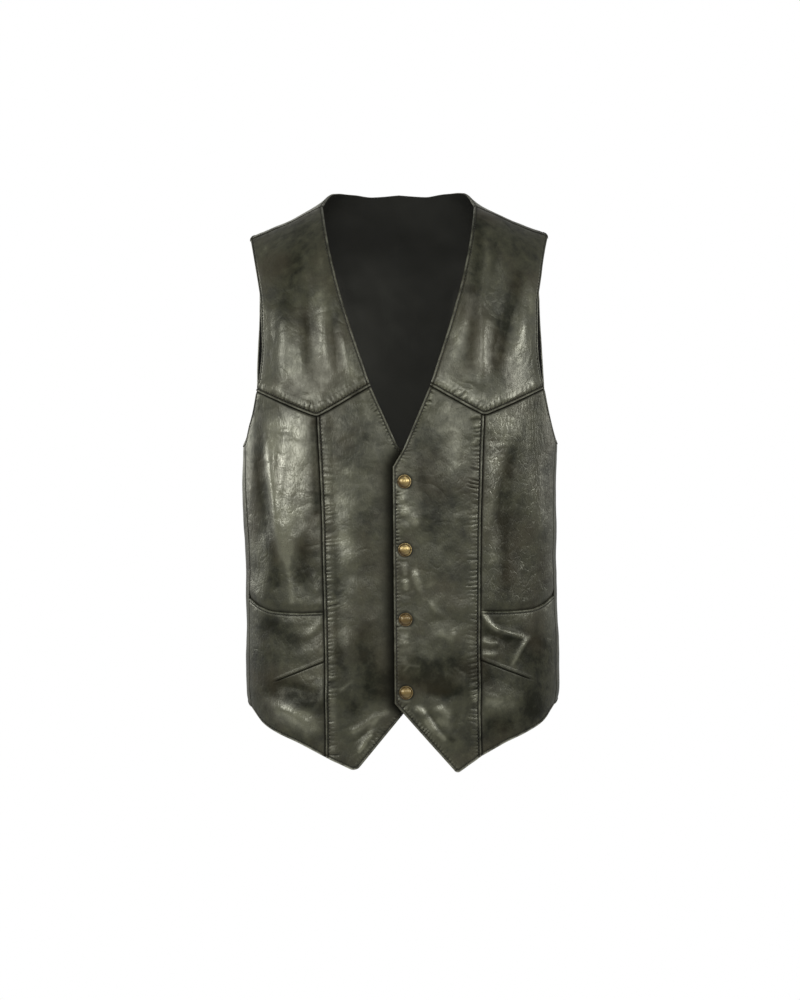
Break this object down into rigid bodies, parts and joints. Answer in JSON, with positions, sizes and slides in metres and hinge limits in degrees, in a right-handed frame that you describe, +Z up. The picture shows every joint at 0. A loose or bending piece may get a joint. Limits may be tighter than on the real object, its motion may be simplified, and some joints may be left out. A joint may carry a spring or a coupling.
{
  "type": "leather vest",
  "caption": "Sleeveless leather waistcoat with a V-neck, pointed front yokes, slant-darted pocket fronts, a pointed front hem and a brass snap closure, in its worn shape.",
  "frame": {"origin": "between the shoulders, midway between the two neck corners, where the wearer's shoulders carry the vest", "axes": "+X towards the wearer's left, +Y towards the back, +Z up; the front faces -Y"},
  "size_m": [0.3554, 0.2419, 0.6502],
  "materials": {
    "leather": "washed dark olive-grey hide, soft semi-gloss",
    "brass": "aged brass, polished on the dome"
  },
  "bodies": {
    "root": {"back": "leather", "front_yoke_left": "leather", "front_yoke_right": "leather", "front_centre_left": "leather", "front_centre_right": "leather", "front_side_left": "leather", "front_side_right": "leather", "pocket_front_left": "leather", "pocket_front_right": "leather", "snap_cap_1": "brass", "snap_cap_2": "brass", "snap_cap_3": "brass", "snap_cap_4": "brass", "snap_socket_1": "brass", "snap_socket_2": "brass", "snap_socket_3": "brass", "snap_socket_4": "brass", "snap_post_1": "brass", "snap_post_2": "brass", "snap_post_3": "brass", "snap_post_4": "brass"}
  },
  "joints": []
}
